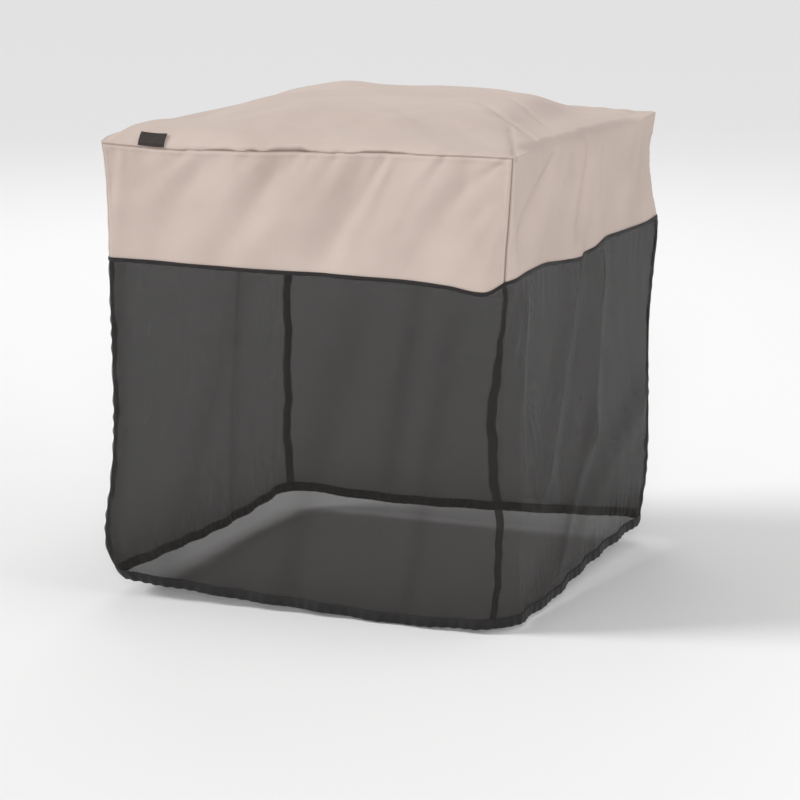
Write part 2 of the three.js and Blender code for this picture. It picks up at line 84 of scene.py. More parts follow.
# folds: side, start t and z, end t and z, width, height (below zero a trough)
capFolds = [
    (0, -20, -28, -287, -194, 46, -5), (0, 60, -40, -120, -215, 44, 4), (0, 174, -25, 46, -204, 40, -5),
    (0, 262, -40, 150, -225, 38, 4), (0, 333, -45, 239, -190, 34, -4), (0, -350, -60, -395, -210, 34, -3),
    (1, -198, -14, -358, -150, 42, -7), (1, 25, -34, -55, -185, 34, -7), (1, -29, -50, -95, -243, 30, 8),
    (1, 205, -60, 150, -225, 46, -4), (2, -200, -30, -90, -210, 46, -5), (2, 90, -40, 180, -220, 42, 5),
    (3, -120, -40, -210, -215, 44, -5), (3, 160, -30, 70, -215, 44, 5),
]
netFolds = [
    (0, -330, -270, -345, -820, 46, -6), (0, -140, -400, -270, -860, 60, 5),
    (0, 150, -320, -30, -860, 60, -5), (0, 330, -380, 230, -870, 46, 6),
    (1, -50, -250, -218, -640, 34, 12), (1, 20, -270, -110, -650, 40, -8), (1, 102, -300, 40, -620, 34, 10),
    (1, 40, -620, -140, -830, 36, 9), (1, 385, -600, -150, -880, 56, 9),
    (2, -180, -300, -120, -820, 50, -8), (2, 90, -280, 190, -840, 50, 9),
    (3, -220, -280, -150, -840, 50, 9), (3, 130, -300, 60, -820, 50, -8),
]
# creases that only the cloth's surface shows
fineFolds = [
    # puckers close under the front seam
    (0, -250, -20, -330, -80, 12, -2.4), (0, -120, -22, -180, -90, 13, -2.2), (0, 5, -18, -40, -80, 12, 2.2),
    (0, 70, -14, 30, -70, 12, -2.2), (0, 285, -16, 250, -70, 10, -2.2), (0, 400, -14, 352, -50, 9, -2.2),
    # slanting creases of the front
    (0, 385, -120, 300, -236, 18, 2.2), (0, 210, -150, 150, -240, 20, -1.6),
    (0, -60, -150, -160, -240, 22, 1.5), (0, -390, -40, -416, -200, 12, 1.6),
    (0, 118, -34, 44, -190, 21, -4.5), (0, 174, -36, 98, -180, 13, 4),
    (0, -68, -44, -155, -200, 21, -5), (0, -148, -58, -245, -195, 27, 5), (0, -222, -48, -320, -160, 24, -4),
    (0, 20, -50, -60, -190, 30, 3), (0, 330, -60, 262, -190, 24, -3),
    # right wall
    (1, -200, -44, -340, -134, 19, -6.5), (1, -142, -70, -290, -190, 24, 4), (1, 4, -52, -26, -176, 20, -5.5),
    (1, 70, -60, 40, -190, 30, 3), (1, 330, -110, 200, -225, 26, 5),
    # net beside the near corner
    (0, 405, -400, 424, -600, 10, -4), (0, 395, -640, 415, -880, 14, 4),
    (1, -372, -290, -428, -560, 13, 5), (1, -395, -330, -425, -470, 9, -4),
    (1, -340, -300, -395, -640, 16, 4), (1, -405, -600, -400, -860, 14, 4),
    # slight ones on the right, the back and the left
    (1, -120, -20, -215, -160, 18, -2.0), (1, 90, -50, 60, -235, 16, 2.0), (1, 300, -60, 262, -200, 24, 1.6),
    (1, 380, -40, 350, -200, 22, -1.8), (2, 0, -40, -30, -200, 26, 2.0), (2, 300, -40, 250, -200, 22, -2.0),
    (3, -300, -40, -340, -200, 22, 2.0), (3, 20, -40, -40, -210, 24, -2.0), (3, 330, -50, 290, -200, 22, 1.6),
]
hemPull = {"depth": 9, "level": -915, "reach": 130, "gather": 3, "pitch": 116, "gatherReach": 90}
# how far from a corner the folds, the creases and the slack come in, and how far its own push spreads
foldFade = 60.0
creaseFade = 14.0
slackFade = 40.0
cornerSpread = 150.0
# how a crease widens from start to end, weakens, and fades past both ends; the low ridge on its flank
crease = {
    "startWidth": 0.8, "widen": 0.8, "startHeight": 1.1, "weaken": 0.4,
    "fadeBefore": 34.0, "fadeAfter": 60.0, "ridge": 0.6, "ridgeAt": 1.5,
}


def readTable(rows, at, column=1):
    # value of a column between the rows, with soft turns at the rows
    xs = np.array([row[0] for row in rows], float)
    ys = np.array([row[column] for row in rows], float)
    lo = np.maximum(np.arange(len(xs)) - 1, 0)
    hi = np.minimum(np.arange(len(xs)) + 1, len(xs) - 1)
    slope = (ys[hi] - ys[lo]) / (xs[hi] - xs[lo])
    at = np.clip(np.asarray(at, float), xs[0], xs[-1])
    i = np.clip(np.searchsorted(xs, at, side="right") - 1, 0, len(xs) - 2)
    span = xs[i + 1] - xs[i]
    f = (at - xs[i]) / span
    g = 1 - f
    start = (1 + 2 * f) * g * g * ys[i] + f * g * g * span * slope[i]
    return start + f * f * (3 - 2 * f) * ys[i + 1] - f * f * g * span * slope[i + 1]


def soften(low, high, value):
    f = np.clip((value - low) / (high - low), 0, 1)
    return f * f * (3 - 2 * f)


def fromLine(a, b, a0, b0, a1, b1):
    # a line's length, and the places' distances along it and to its right
    length = math.hypot(a1 - a0, b1 - b0)
    along = ((a - a0) * (a1 - a0) + (b - b0) * (b1 - b0)) / length
    across = ((a - a0) * (b1 - b0) - (b - b0) * (a1 - a0)) / length
    return length, along, across


def foldShape(a, b, a0, b0, a1, b1, width, fade=60.0):
    # 1 on the fold's line, falling to 0 beside it and past its ends
    length, along, across = fromLine(a, b, a0, b0, a1, b1)
    past = np.maximum(np.maximum(-along, along - length), 0)
    return np.exp(-((across / width) ** 2) - (past / fade) ** 2)


def creaseShape(a, b, a0, b0, a1, b1, width):
    # a crease that starts narrow, then spreads and runs out, with a low ridge along one flank
    length, along, across = fromLine(a, b, a0, b0, a1, b1)
    share = np.clip(along / length, 0, 1)
    before, after = np.maximum(-along, 0), np.maximum(along - length, 0)
    past = before / crease["fadeBefore"] + after / crease["fadeAfter"]
    beside = across / (width * (crease["startWidth"] + crease["widen"] * share))
    height = crease["startHeight"] - crease["weaken"] * share
    ridge = crease["ridge"] * np.exp(-(beside - crease["ridgeAt"]) ** 2)
    return height * (np.exp(-beside ** 2) - ridge) * np.exp(-past ** 2)


def ripple(a, b, seed):
    # small uneven waves of slack cloth, from sines in four directions
    total = 0
    for k in range(4):
        turn = seed * 1.7 + k * 0.83
        pitch = 74 + 31 * k
        way = a * math.cos(turn) + b * math.sin(turn)
        total = total + np.sin(way * 2 * math.pi / pitch + seed * 2.1 + k)
    return total / 4


def gathers(along, pitch, drift, slow, turn=0, start=0):
    # waves of gathered cloth, whose pitch drifts with a slower wave
    return np.sin(2 * math.pi * along / pitch + drift * np.sin(along / slow + turn) + start)


def wall(side, w, z, slack=0.5):
    # the cloth at share w of the way along a side, from corner seam to corner seam, at height z
    w, z = np.broadcast_arrays(np.asarray(w, float), np.asarray(z, float))
    first, second = cornerForm[side], cornerForm[(side + 1) % 4]
    ra, rb = readTable(first, z), readTable(second, z)
    aboveHem = np.maximum(z - hemPull["level"], 0)
    drawn = half - hemPull["depth"] * np.exp(-((aboveHem / hemPull["reach"]) ** 2))
    bendA, bendB = ra * math.pi / 4, rb * math.pi / 4
    run = 2 * drawn - ra - rb
    s = w * (bendA + run + bendB)
    angleA = np.clip((bendA - s) / ra, 0, None)
    angleB = np.clip((s - bendA - run) / rb, 0, None)
    t = np.clip(s - bendA, 0, run) - drawn + ra - ra * np.sin(angleA) + rb * np.sin(angleB)
    inset = ra * (1 - np.cos(angleA)) + rb * (1 - np.cos(angleB))
    bend = 1 - math.sqrt(0.5)
    fromFirst = t - (-drawn + bend * ra)
    fromSecond = drawn - bend * rb - t
    near = np.minimum(fromFirst, fromSecond)
    openness = soften(0, foldFade, near)
    up = np.maximum(z - readTable(hemLine[side], t), 0)
    wave = np.sin(2 * math.pi * t / hemPull["pitch"] + side)
    out = openness * hemPull["gather"] * wave * np.exp(-((up / hemPull["gatherReach"]) ** 2))
    for fold in capFolds + netFolds:
        if fold[0] == side:
            out = out + openness * fold[6] * foldShape(t, z, *fold[1:6])
    for fold in fineFolds:
        if fold[0] == side:
            out = out + soften(0, creaseFade, near) * fold[6] * creaseShape(t, z, *fold[1:6])
    out = out + soften(0, slackFade, near) * slack * ripple(t, z, side + 1)
    pushA = readTable(first, z, 2) * np.exp(-((fromFirst / cornerSpread) ** 2)) * math.sqrt(0.5)
    pushB = readTable(second, z, 2) * np.exp(-((fromSecond / cornerSpread) ** 2)) * math.sqrt(0.5)
    along = t - pushA + pushB
    outward = drawn - inset + out + pushA + pushB
    turn = side * math.pi / 2
    x = along * math.cos(turn) + outward * math.sin(turn)
    y = along * math.sin(turn) - outward * math.cos(turn)
    return np.stack([x, y, z], -1)


def placeOn(w):
    return -half + fullSide * np.asarray(w, float)


def spread(count, pinch=0.6):
    # shares from 0 to 1, closer together at both ends
    f = np.linspace(0, 1, count)
    return f - pinch * np.sin(2 * math.pi * f) / (2 * math.pi)


top = {
    "roll": [(-432, 0), (-395, 12), (-350, 27), (-100, 26), (60, 23), (210, 16), (330, 8), (432, 0)],
    "backRoll": 9.0,
    "rollReach": 17.0,
    "wallReach": 60.0,
    "crown": 62.0,
    "crownEdge": 0.72,
    "crownSteep": 12.0,
    # folds: start x and y, end x and y, width, height
    "folds": [
        (425, -425, 275, -170, 30, 1), (400, -330, 215, 10, 26, -1), (330, -400, 60, -150, 34, -4),
        (-420, -405, -398, -372, 24, 7), (-366, -350, -350, -300, 30, -3), (-300, -210, -262, 40, 52, -9),
        (-100, 240, -60, 240, 50, -3), (-425, 425, -255, 250, 34, 7), (340, 330, 260, 230, 34, 5),
        (360, 372, 400, 400, 30, -5),
    ],
    # small creases that only the surface shows
    "creases": [
        (364, -357, 205, -235, 16, -2), (405, -335, 330, -160, 38, 7), (388, -206, 232, -58, 8, -5),
        (366, -236, 216, -96, 15, 2), (352, -30, 250, 60, 9, -3.5), (-250, -330, -60, -180, 26, -2.5),
        (60, -330, 150, -180, 24, -2), (-330, -120, -200, -40, 22, 2), (-60, 330, 80, 300, 24, -2),
    ],
    # steps in the cloth: start x and y, end x and y, how far it fades out to its left, height, softness
    "laps": [(440, -424, 350, -213, 28, -8, 1.2), (-190, 4, 200, 102, 75, 2.5, 14)],
    "creaseFade": 26.0,
    "lapFade": 26.0,
    "foldRim": 34.0,  # how far from the rim the folds come in
    "lapRim": 10.0,
    "peak": (-178, 205, 62, 7),  # x, y, width, height
    "slack": 0.4,
}


def lapShape(x, y, x0, y0, x1, y1, reach, softness):
    length, along, across = fromLine(x, y, x0, y0, x1, y1)
    past = np.maximum(np.maximum(-along, along - length), 0)
    step = soften(-softness, softness, -across) * np.exp(-np.maximum(-across, 0) / reach)
    return step * np.exp(-((past / top["lapFade"]) ** 2))


def topHeight(x, y):
    # a patch between the four top lines, its front and back rolled up, with the crown and the folds on it
    u, v = np.clip((x + half) / fullSide, 0, 1), np.clip((y + half) / fullSide, 0, 1)
    front, back = readTable(topLine[0], x), readTable(topLine[2], -x)
    left, right = readTable(topLine[3], -y), readTable(topLine[1], y)
    c00, c10, c11, c01 = topLine[0][0][1], topLine[0][-1][1], topLine[2][0][1], topLine[2][-1][1]
    edges = (1 - v) * front + v * back + (1 - u) * left + u * right
    shared = (1 - u) * (1 - v) * c00 + u * (1 - v) * c10 + (1 - u) * v * c01 + u * v * c11
    fromFront, fromBack = np.maximum(y + half, 0), np.maximum(half - y, 0)
    rollFront = readTable(top["roll"], x) * (1 - np.exp(-fromFront / top["rollReach"])) * (1 - v)
    away = soften(0, foldFade, np.minimum(half - x, half + x))
    rollBack = top["backRoll"] * away * (1 - np.exp(-fromBack / top["rollReach"])) * v
    ax, ay = np.abs(x) / half, np.abs(y) / half
    # the crown's outline goes from round in the middle to square at the rim
    power = 2 + 5 * np.maximum(ax, ay) ** 3
    n = (ax ** power + ay ** power) ** (1 / power)
    bellRim = 1 / (1 + (1 / top["crownEdge"]) ** top["crownSteep"])
    bell = 1 / (1 + (n / top["crownEdge"]) ** top["crownSteep"])
    share = np.maximum(bell - bellRim, 0) / (1 - bellRim)
    lift = top["slack"] * ripple(x, y, 7)
    for fold in top["folds"]:
        lift = lift + fold[5] * foldShape(x, y, *fold[:5])
    for fold in top["creases"]:
        lift = lift + fold[5] * foldShape(x, y, *fold[:5], fade=top["creaseFade"])
    px, py, width, height = top["peak"]
    lift = lift + height * np.exp(-((x - px) ** 2 + (y - py) ** 2) / width ** 2)
    fromRim = np.minimum(half - np.abs(x), half - np.abs(y))
    lift = lift * soften(0, top["foldRim"], fromRim)
    for lap in top["laps"]:
        lift = lift + soften(0, top["lapRim"], fromRim) * lap[5] * lapShape(x, y, *lap[:5], lap[6])
    return (edges - shared + rollFront + rollBack) * (1 - share) + top["crown"] * share + lift


def clearSelection():
    bpy.ops.object.select_all(action="DESELECT")


def finishPiece(obj, material, replaced=()):
    obj.data.materials.clear()
    obj.data.materials.append(material)
    for polygon in obj.data.polygons:
        polygon.use_smooth = True
    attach(obj, "root")
    if replaced:
        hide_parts(*replaced)


def sheetMesh(name, grid, uv, masks=None):
    # one sheet from a grid of places in millimetres; uv in metres of cloth; masks are values at the places
    n, m = grid.shape[:2]
    places = grid.reshape(-1, 3) + np.array([0, 0, cover["rim"]])
    index = np.arange(n * m).reshape(n, m)
    quads = np.stack([index[:-1, :-1], index[1:, :-1], index[1:, 1:], index[:-1, 1:]], -1).reshape(-1, 4)
    inside = grid.reshape(-1, 3).mean(0) * np.array([0, 0, 1]) - np.array([0, 0, 60])
    middle = grid[n // 2, m // 2]
    down, across = grid[n // 2 + 1, m // 2] - middle, grid[n // 2, m // 2 + 1] - middle
    if np.dot(np.cross(down, across), middle - inside) < 0:
        quads = quads[:, ::-1]
    mesh = bpy.data.meshes.new(name)
    mesh.from_pydata((places / metre).tolist(), [], quads.tolist())
    layer = mesh.uv_layers.new(name="cloth")
    corner = np.zeros(len(mesh.loops), np.int32)
    mesh.loops.foreach_get("vertex_index", corner)
    layer.data.foreach_set("uv", (uv.reshape(-1, 2)[corner]).astype(np.float32).ravel())
    for key, values in (masks or {}).items():
        attribute = mesh.attributes.new(key, "FLOAT", "POINT")
        attribute.data.foreach_set("value", np.broadcast_to(values, (n, m)).astype(np.float32).ravel())
    obj = bpy.data.objects.new(name, mesh)
    bpy.context.scene.collection.objects.link(obj)
    return obj


def thicken(obj, thickness, offset=-1.0):
    clearSelection()
    bpy.context.view_layer.objects.active = obj
    obj.select_set(True)
    modifier = obj.modifiers.new("thickness", "SOLIDIFY")
    modifier.thickness = thickness / metre
    modifier.offset = offset
    modifier.use_even_offset = False
    bpy.ops.object.modifier_apply(modifier="thickness")


def clothRun(grid, axis):
    # length of cloth from a grid's first row, axis 0, or first column, axis 1
    steps = np.linalg.norm(np.diff(grid, axis=axis), axis=2)
    return np.insert(np.cumsum(steps, axis), 0, 0, axis=axis)


def sheetLengths(grid):
    # mean cloth lengths along both ways of a grid, in metres, for the weave
    u = np.broadcast_to(clothRun(grid, 0).mean(1)[:, None], grid.shape[:2])
    v = np.broadcast_to(clothRun(grid, 1).mean(0)[None, :], grid.shape[:2])
    return np.stack([u, v], -1) / metre


def newMaterial(name):
    material = bpy.data.materials.new(name)
    material.use_nodes = True
    nodes, links = material.node_tree.nodes, material.node_tree.links
    return material, nodes, links, nodes["Principled BSDF"]


def addNode(nodes, kind, **values):
    node = nodes.new(kind)
    for key, value in values.items():
        setattr(node, key, value)
    return node


def mathNode(nodes, links, operation, *inputs, clamp=False):
    node = addNode(nodes, "ShaderNodeMath", operation=operation, use_clamp=clamp)
    for i, value in enumerate(inputs):
        if isinstance(value, (int, float)):
            node.inputs[i].default_value = value
        else:
            links.new(value, node.inputs[i])
    return node.outputs[0]


def mixColors(nodes, links, share, first, second):
    # sockets of a colour mix: 0 is the share, 6 and 7 the colours, and output 2 the result
    node = addNode(nodes, "ShaderNodeMix", data_type="RGBA")
    for socket, value in ((0, share), (6, first), (7, second)):
        if isinstance(value, tuple):
            node.inputs[socket].default_value = value
        else:
            links.new(value, node.inputs[socket])
    return node.outputs[2]


def bumpNormal(nodes, links, height, strength, distance, below=None):
    bump = nodes.new("ShaderNodeBump")
    bump.inputs["Strength"].default_value = strength
    bump.inputs["Distance"].default_value = distance
    links.new(height, bump.inputs["Height"])
    if below is not None:
        links.new(below, bump.inputs["Normal"])
    return bump.outputs["Normal"]


def newGroup(name, numberName, number, resultName):
    # a node group that turns a vector and one number into one value
    tree = bpy.data.node_groups.new(name, "ShaderNodeTree")
    tree.interface.new_socket("Vector", in_out="INPUT", socket_type="NodeSocketVector")
    socket = tree.interface.new_socket(numberName, in_out="INPUT", socket_type="NodeSocketFloat")
    socket.default_value = number
    tree.interface.new_socket(resultName, in_out="OUTPUT", socket_type="NodeSocketFloat")
    return tree, tree.nodes.new("NodeGroupInput"), tree.nodes.new("NodeGroupOutput")


# plain weave: crossing threads, for every woven cloth of the cover
def weaveGroup():
    tree, given, result = newGroup("plainWeave", "Pitch", 0.0008, "Height")
    nodes, links = tree.nodes, tree.links
    split = nodes.new("ShaderNodeSeparateXYZ")
    links.new(given.outputs["Vector"], split.inputs[0])
    turn = mathNode(nodes, links, "DIVIDE", 2 * math.pi, given.outputs["Pitch"])
    warp = mathNode(nodes, links, "SINE", mathNode(nodes, links, "MULTIPLY", split.outputs["X"], turn))
    weft = mathNode(nodes, links, "SINE", mathNode(nodes, links, "MULTIPLY", split.outputs["Y"], turn))
    product = mathNode(nodes, links, "MULTIPLY", warp, weft)
    height = mathNode(nodes, links, "MULTIPLY_ADD", product, 0.5, 0.5)
    links.new(height, result.inputs["Height"])
    return tree


# worn, uneven tone: soft blotches and finer specks
def mottleGroup():
    tree, given, result = newGroup("clothMottle", "Size", 6.0, "Value")
    noise = addNode(tree.nodes, "ShaderNodeTexNoise", noise_dimensions="3D")
    noise.inputs["Detail"].default_value = 5.0
    noise.inputs["Roughness"].default_value = 0.55
    tree.links.new(given.outputs["Vector"], noise.inputs["Vector"])
    tree.links.new(given.outputs["Size"], noise.inputs["Scale"])
    tree.links.new(noise.outputs["Fac"], result.inputs["Value"])
    return tree


weave = weaveGroup()
mottle = mottleGroup()


def useGroup(nodes, links, tree, vector, numberName, number):
    # places a group in a material, with its vector linked and its number set
    node = nodes.new("ShaderNodeGroup")
    node.node_tree = tree
    node.inputs[numberName].default_value = number
    links.new(vector, node.inputs["Vector"])
    return node.outputs[0]


capCloth = {
    "light": (0.472, 0.390, 0.348, 1),
    "dark": (0.425, 0.347, 0.306, 1),
    "mottle": 5.0,
    "mottleFrom": 0.32,
    "mottleTo": 0.68,
    # colour of the painted shade along the seams and under the corner's lap
    "seam": (0.190, 0.138, 0.115, 1),
    "seamShare": 0.8,
    "weavePitch": 0.0009,
    "weaveBump": (0.22, 0.0003),  # strength, distance
    "wrinkle": 60.0,
    "wrinkleBump": (0.10, 0.002),
    "roughness": 0.78,
    "specular": 0.25,
    "sheen": 0.12,
    "sheenRoughness": 0.5,
    "sheenTint": (0.9, 0.8, 0.74, 1),
}


def tanMaterial():
    material, nodes, links, shader = newMaterial("tanCloth")
    place = nodes.new("ShaderNodeTexCoord")
    tone = nodes.new("ShaderNodeMapRange")
    tone.inputs["From Min"].default_value = capCloth["mottleFrom"]
    tone.inputs["From Max"].default_value = capCloth["mottleTo"]
    blotches = useGroup(nodes, links, mottle, place.outputs["Object"], "Size", capCloth["mottle"])
    links.new(blotches, tone.inputs["Value"])
    cloth = mixColors(nodes, links, tone.outputs["Result"], capCloth["dark"], capCloth["light"])
    # painted shade: the cloth is darkened along the seams and under the corner's lap
    seam = addNode(nodes, "ShaderNodeAttribute", attribute_name="seam")
    seamShare = mathNode(nodes, links, "MULTIPLY", seam.outputs["Fac"], capCloth["seamShare"])
    links.new(mixColors(nodes, links, seamShare, cloth, capCloth["seam"]), shader.inputs["Base Color"])
    wrinkles = addNode(nodes, "ShaderNodeTexNoise", noise_dimensions="3D")
    wrinkles.inputs["Scale"].default_value = capCloth["wrinkle"]
    wrinkles.inputs["Detail"].default_value = 4.0
    links.new(place.outputs["Object"], wrinkles.inputs["Vector"])
    crumpled = bumpNormal(nodes, links, wrinkles.outputs["Fac"], *capCloth["wrinkleBump"])
    threads = useGroup(nodes, links, weave, place.outputs["UV"], "Pitch", capCloth["weavePitch"])
    links.new(bumpNormal(nodes, links, threads, *capCloth["weaveBump"], crumpled), shader.inputs["Normal"])
    shader.inputs["Roughness"].default_value = capCloth["roughness"]
    shader.inputs["Specular IOR Level"].default_value = capCloth["specular"]
    shader.inputs["Sheen Weight"].default_value = capCloth["sheen"]
    shader.inputs["Sheen Roughness"].default_value = capCloth["sheenRoughness"]
    shader.inputs["Sheen Tint"].default_value = capCloth["sheenTint"]
    return material


netCloth = {
    "color": (0.014, 0.012, 0.011, 1),
    "pitch": 0.0007,
    "hole": 0.32,  # half width of a hole, as a share of the pitch
    "holeDense": 0.10,
    "squareness": 4.0,
    "edge": 18.0,
    "opacity": 0.55,  # at a hole, chosen for the tone from a step away
    "threadOpacity": 0.34,  # what a thread adds
    "roughness": 0.6,
    "specular": 0.12,
}


def netMaterial():
    # an even net of square holes; where the mask dense is high it lies gathered or doubled and closes up
    material, nodes, links, shader = newMaterial("blackNet")
    place = nodes.new("ShaderNodeTexCoord")
    scale = nodes.new("ShaderNodeMapping")
    scale.inputs["Scale"].default_value = [1 / netCloth["pitch"]] * 3
    links.new(place.outputs["UV"], scale.inputs["Vector"])
    cells = addNode(nodes, "ShaderNodeTexVoronoi", voronoi_dimensions="2D", distance="MINKOWSKI")
    cells.inputs["Scale"].default_value = 1.0
    cells.inputs["Exponent"].default_value = netCloth["squareness"]
    cells.inputs["Randomness"].default_value = 0.0
    links.new(scale.outputs["Vector"], cells.inputs["Vector"])
    dense = addNode(nodes, "ShaderNodeAttribute", attribute_name="dense")
    shrink = netCloth["holeDense"] - netCloth["hole"]
    radius = mathNode(nodes, links, "MULTIPLY_ADD", dense.outputs["Fac"], shrink, netCloth["hole"])
    past = mathNode(nodes, links, "SUBTRACT", cells.outputs["Distance"], radius)
    thread = mathNode(nodes, links, "MULTIPLY_ADD", past, netCloth["edge"], 0.5, clamp=True)
    opacity = mathNode(nodes, links, "MULTIPLY_ADD", thread, netCloth["threadOpacity"],
                       netCloth["opacity"], clamp=True)
    links.new(opacity, shader.inputs["Alpha"])
    shader.inputs["Base Color"].default_value = netCloth["color"]
    shader.inputs["Roughness"].default_value = netCloth["roughness"]
    shader.inputs["Specular IOR Level"].default_value = netCloth["specular"]
    return material


def wovenMaterial(name, color, pitch, roughness, sheen, strength=0.5):
    # close woven tape, hem and label cloth: painted shade and painted light, the tone going from the threads'
    # shade to their lit side, made uneven by a random tone
    material, nodes, links, shader = newMaterial(name)
    place = nodes.new("ShaderNodeTexCoord")
    threads = useGroup(nodes, links, weave, place.outputs["UV"], "Pitch", pitch)
    tone = useGroup(nodes, links, mottle, place.outputs["Object"], "Size", 40.0)
    # shaded and lit copies of the thread colour, mixed by the weave for the painted light
    shade = tuple(c * 0.7 for c in color) + (1,)
    light = tuple(min(c * 1.5, 1) for c in color) + (1,)
    blend = mathNode(nodes, links, "MULTIPLY", tone, threads)
    share = mathNode(nodes, links, "MULTIPLY", blend, 1.6, clamp=True)
    links.new(mixColors(nodes, links, share, shade, light), shader.inputs["Base Color"])
    links.new(bumpNormal(nodes, links, threads, strength, 0.0004), shader.inputs["Normal"])
    shader.inputs["Roughness"].default_value = roughness
    shader.inputs["Specular IOR Level"].default_value = 0.2
    shader.inputs["Sheen Weight"].default_value = sheen
    return material


tanCloth = tanMaterial()
blackNet = netMaterial()
tapeCloth = wovenMaterial("tapeCloth", (0.016, 0.014, 0.014), pitch=0.0011, roughness=0.7, sheen=0.06)
hemCloth = wovenMaterial("hemCloth", (0.012, 0.011, 0.011), pitch=0.0019, roughness=0.65, sheen=0.05,
                         strength=0.8)
labelCloth = wovenMaterial("labelCloth", (0.026, 0.020, 0.018), pitch=0.0007, roughness=0.55, sheen=0.05)
print("materials made")

# cap: centre strip and two end panels
capGrid = {"across": 150, "topRows": 176, "dropRows": 52, "endRows": 56, "pinch": 0.35}
rimBend = {"reach": 26.0, "softenOver": 170.0}
seamDip = {
    "depth": 2.2, "reach": 3.2,
    "welt": 1.4, "weltAt": 6.5, "weltReach": 4.0,
    # width of the painted shade line along the seams
    "line": 2.0,
    # small and wide puckers: height, reach, then pitch and drift along the seam
    "small": (0.5, 17.0, 21.0, 2.4, 43.0, 0),
    "wide": (0.8, 38.0, 58.0, 1.9, 97.0, 2),
    "start": (1, 11),  # how far beside the seam they start
}
# the painted shadow line under the corner's lap: reach, softness, strength, lowest place
lapShadowLine = (3.0, 3.0, 0.8, -8.0)
# the puffed front edge of the top leans out over its seam: lean by x
rollOver = {
    "table": [(-432, 0), (-370, 1), (-280, 2.6), (0, 2.6), (200, 2), (350, 0), (432, 0)],
    "at": 16.0, "reach": 9.0,
}


def rollLean(x, d):
    return readTable(rollOver["table"], x) * np.exp(-(((d - rollOver["at"]) / rollOver["reach"]) ** 2))


def dropDepths(side, w, share):
    t = placeOn(w)
    upper, lower = readTable(topLine[side], t), readTable(capEdge[side], t)
    return upper + (lower - upper) * share


def seamRelief(d, along):
    # the cloth dips into a seam, swells beside it and puckers a little along it
    dip = -seamDip["depth"] * np.exp(-((d / seamDip["reach"]) ** 2))
    swell = seamDip["welt"] * np.exp(-(((d - seamDip["weltAt"]) / seamDip["weltReach"]) ** 2))
    height, reach, *waves = seamDip["small"]
    uneven = 0.55 + 0.45 * np.sin(along / 71 + 1)
    small = height * gathers(along, *waves) * uneven * np.exp(-((d / reach) ** 2))
    height, reach, *waves = seamDip["wide"]
    wide = height * gathers(along, *waves) * np.exp(-((d / reach) ** 2))
    return dip + swell + (small + wide) * soften(*seamDip["start"], d)


def gridNormals(grid):
    # outward normals: away from a place inside the cover
    n = np.cross(np.gradient(grid, axis=0), np.gradient(grid, axis=1))
    n /= np.maximum(np.linalg.norm(n, axis=2, keepdims=True), 1e-9)
    row, column = grid.shape[0] // 2, grid.shape[1] // 2
    outward = np.sum(n[row, column] * (grid[row, column] - np.array([0, 0, -150]))) >= 0
    return n if outward else -n


def softenRims(left, topPart, right):
    # the strip bends softly over the two side rims, and sharply near the seams
    quarter = math.pi / 4
    reach = rimBend["reach"]
    tipL, tipR = topPart[0].copy(), topPart[-1].copy()
    for part, tip, inward, onWall in ((left, tipL, 1, True), (topPart, tipL, 1, False),
                                      (right, tipR, -1, True), (topPart, tipR, -1, False)):
        fromSeam = np.minimum(tip[:, 1] - tip[0, 1], tip[-1, 1] - tip[:, 1])
        softness = soften(0, rimBend["softenOver"], fromSeam)[None, :]
        d = np.linalg.norm(part - tip[None], axis=2)
        angle = quarter * (1 - np.minimum(d / reach, 1))
        along = reach * (angle / quarter - np.sin(angle)) * softness
        across = reach * (1 - np.cos(angle)) * softness
        part[..., 0] += inward * (across if onWall else along)
        part[..., 2] -= along if onWall else across


def centreStrip():
    v = spread(capGrid["across"])
    down = spread(capGrid["dropRows"], capGrid["pinch"])[:, None]
    left = wall(3, 1 - v[None, :], dropDepths(3, 1 - v[None, :], down))
    right = wall(1, v[None, :], dropDepths(1, v[None, :], down))
    u = spread(capGrid["topRows"])
    front = wall(0, u, readTable(topLine[0], placeOn(u)))
    back = wall(2, 1 - u, readTable(topLine[2], placeOn(1 - u)))
    x = front[:, None, 0] * (1 - v) + back[:, None, 0] * v
    y = left[0][None, :, 1] * (1 - u[:, None]) + right[0][None, :, 1] * u[:, None]
    # the folds of the walls reach a little way into the top
    fade = np.exp(-((u * fullSide / top["wallReach"]) ** 2))[:, None]
    fadeAcross = np.exp(-((v * fullSide / top["wallReach"]) ** 2))[None, :]
    x = x + fade * (left[0][:, 0] - x[0]) + fade[::-1] * (right[0][:, 0] - x[-1])
    offFront, offBack = (front[:, 1] - y[:, 0])[:, None], (back[:, 1] - y[:, -1])[:, None]
    y = y + fadeAcross * offFront + fadeAcross[:, ::-1] * offBack
    topPart = np.stack([x, y, topHeight(x, y)], -1)
    topPart[:, 0], topPart[:, -1] = front, back
    topPart[0], topPart[-1] = left[0], right[0]
    softenRims(left, topPart, right)
    grid = np.concatenate([left[::-1], topPart[1:-1], right], 0)
    lengths = clothRun(grid, 1)
    d = np.minimum(lengths, lengths[:, -1:] - lengths)
    grid = grid + gridNormals(grid) * seamRelief(d, grid[..., 0] - grid[..., 2])[..., None]
    grid[..., 1] -= rollLean(grid[..., 0], lengths) * soften(-40, 0, grid[..., 2])
    # painted shade along the seams, joined with the painted shadow line under the corner's lap
    reach, softness, strength, lowest = lapShadowLine
    lapShadow = lapShape(grid[..., 0], grid[..., 1], *top["laps"][0][:4], reach, softness)
    lapShadow = strength * lapShadow * (grid[..., 2] > lowest)
    seam = np.maximum(np.exp(-((d / seamDip["line"]) ** 2)), lapShadow)
    obj = sheetMesh("capCentre", grid, sheetLengths(grid), {"seam": seam})
    thicken(obj, cover["capThick"])
    finishPiece(obj, tanCloth, ["cap_centre"])


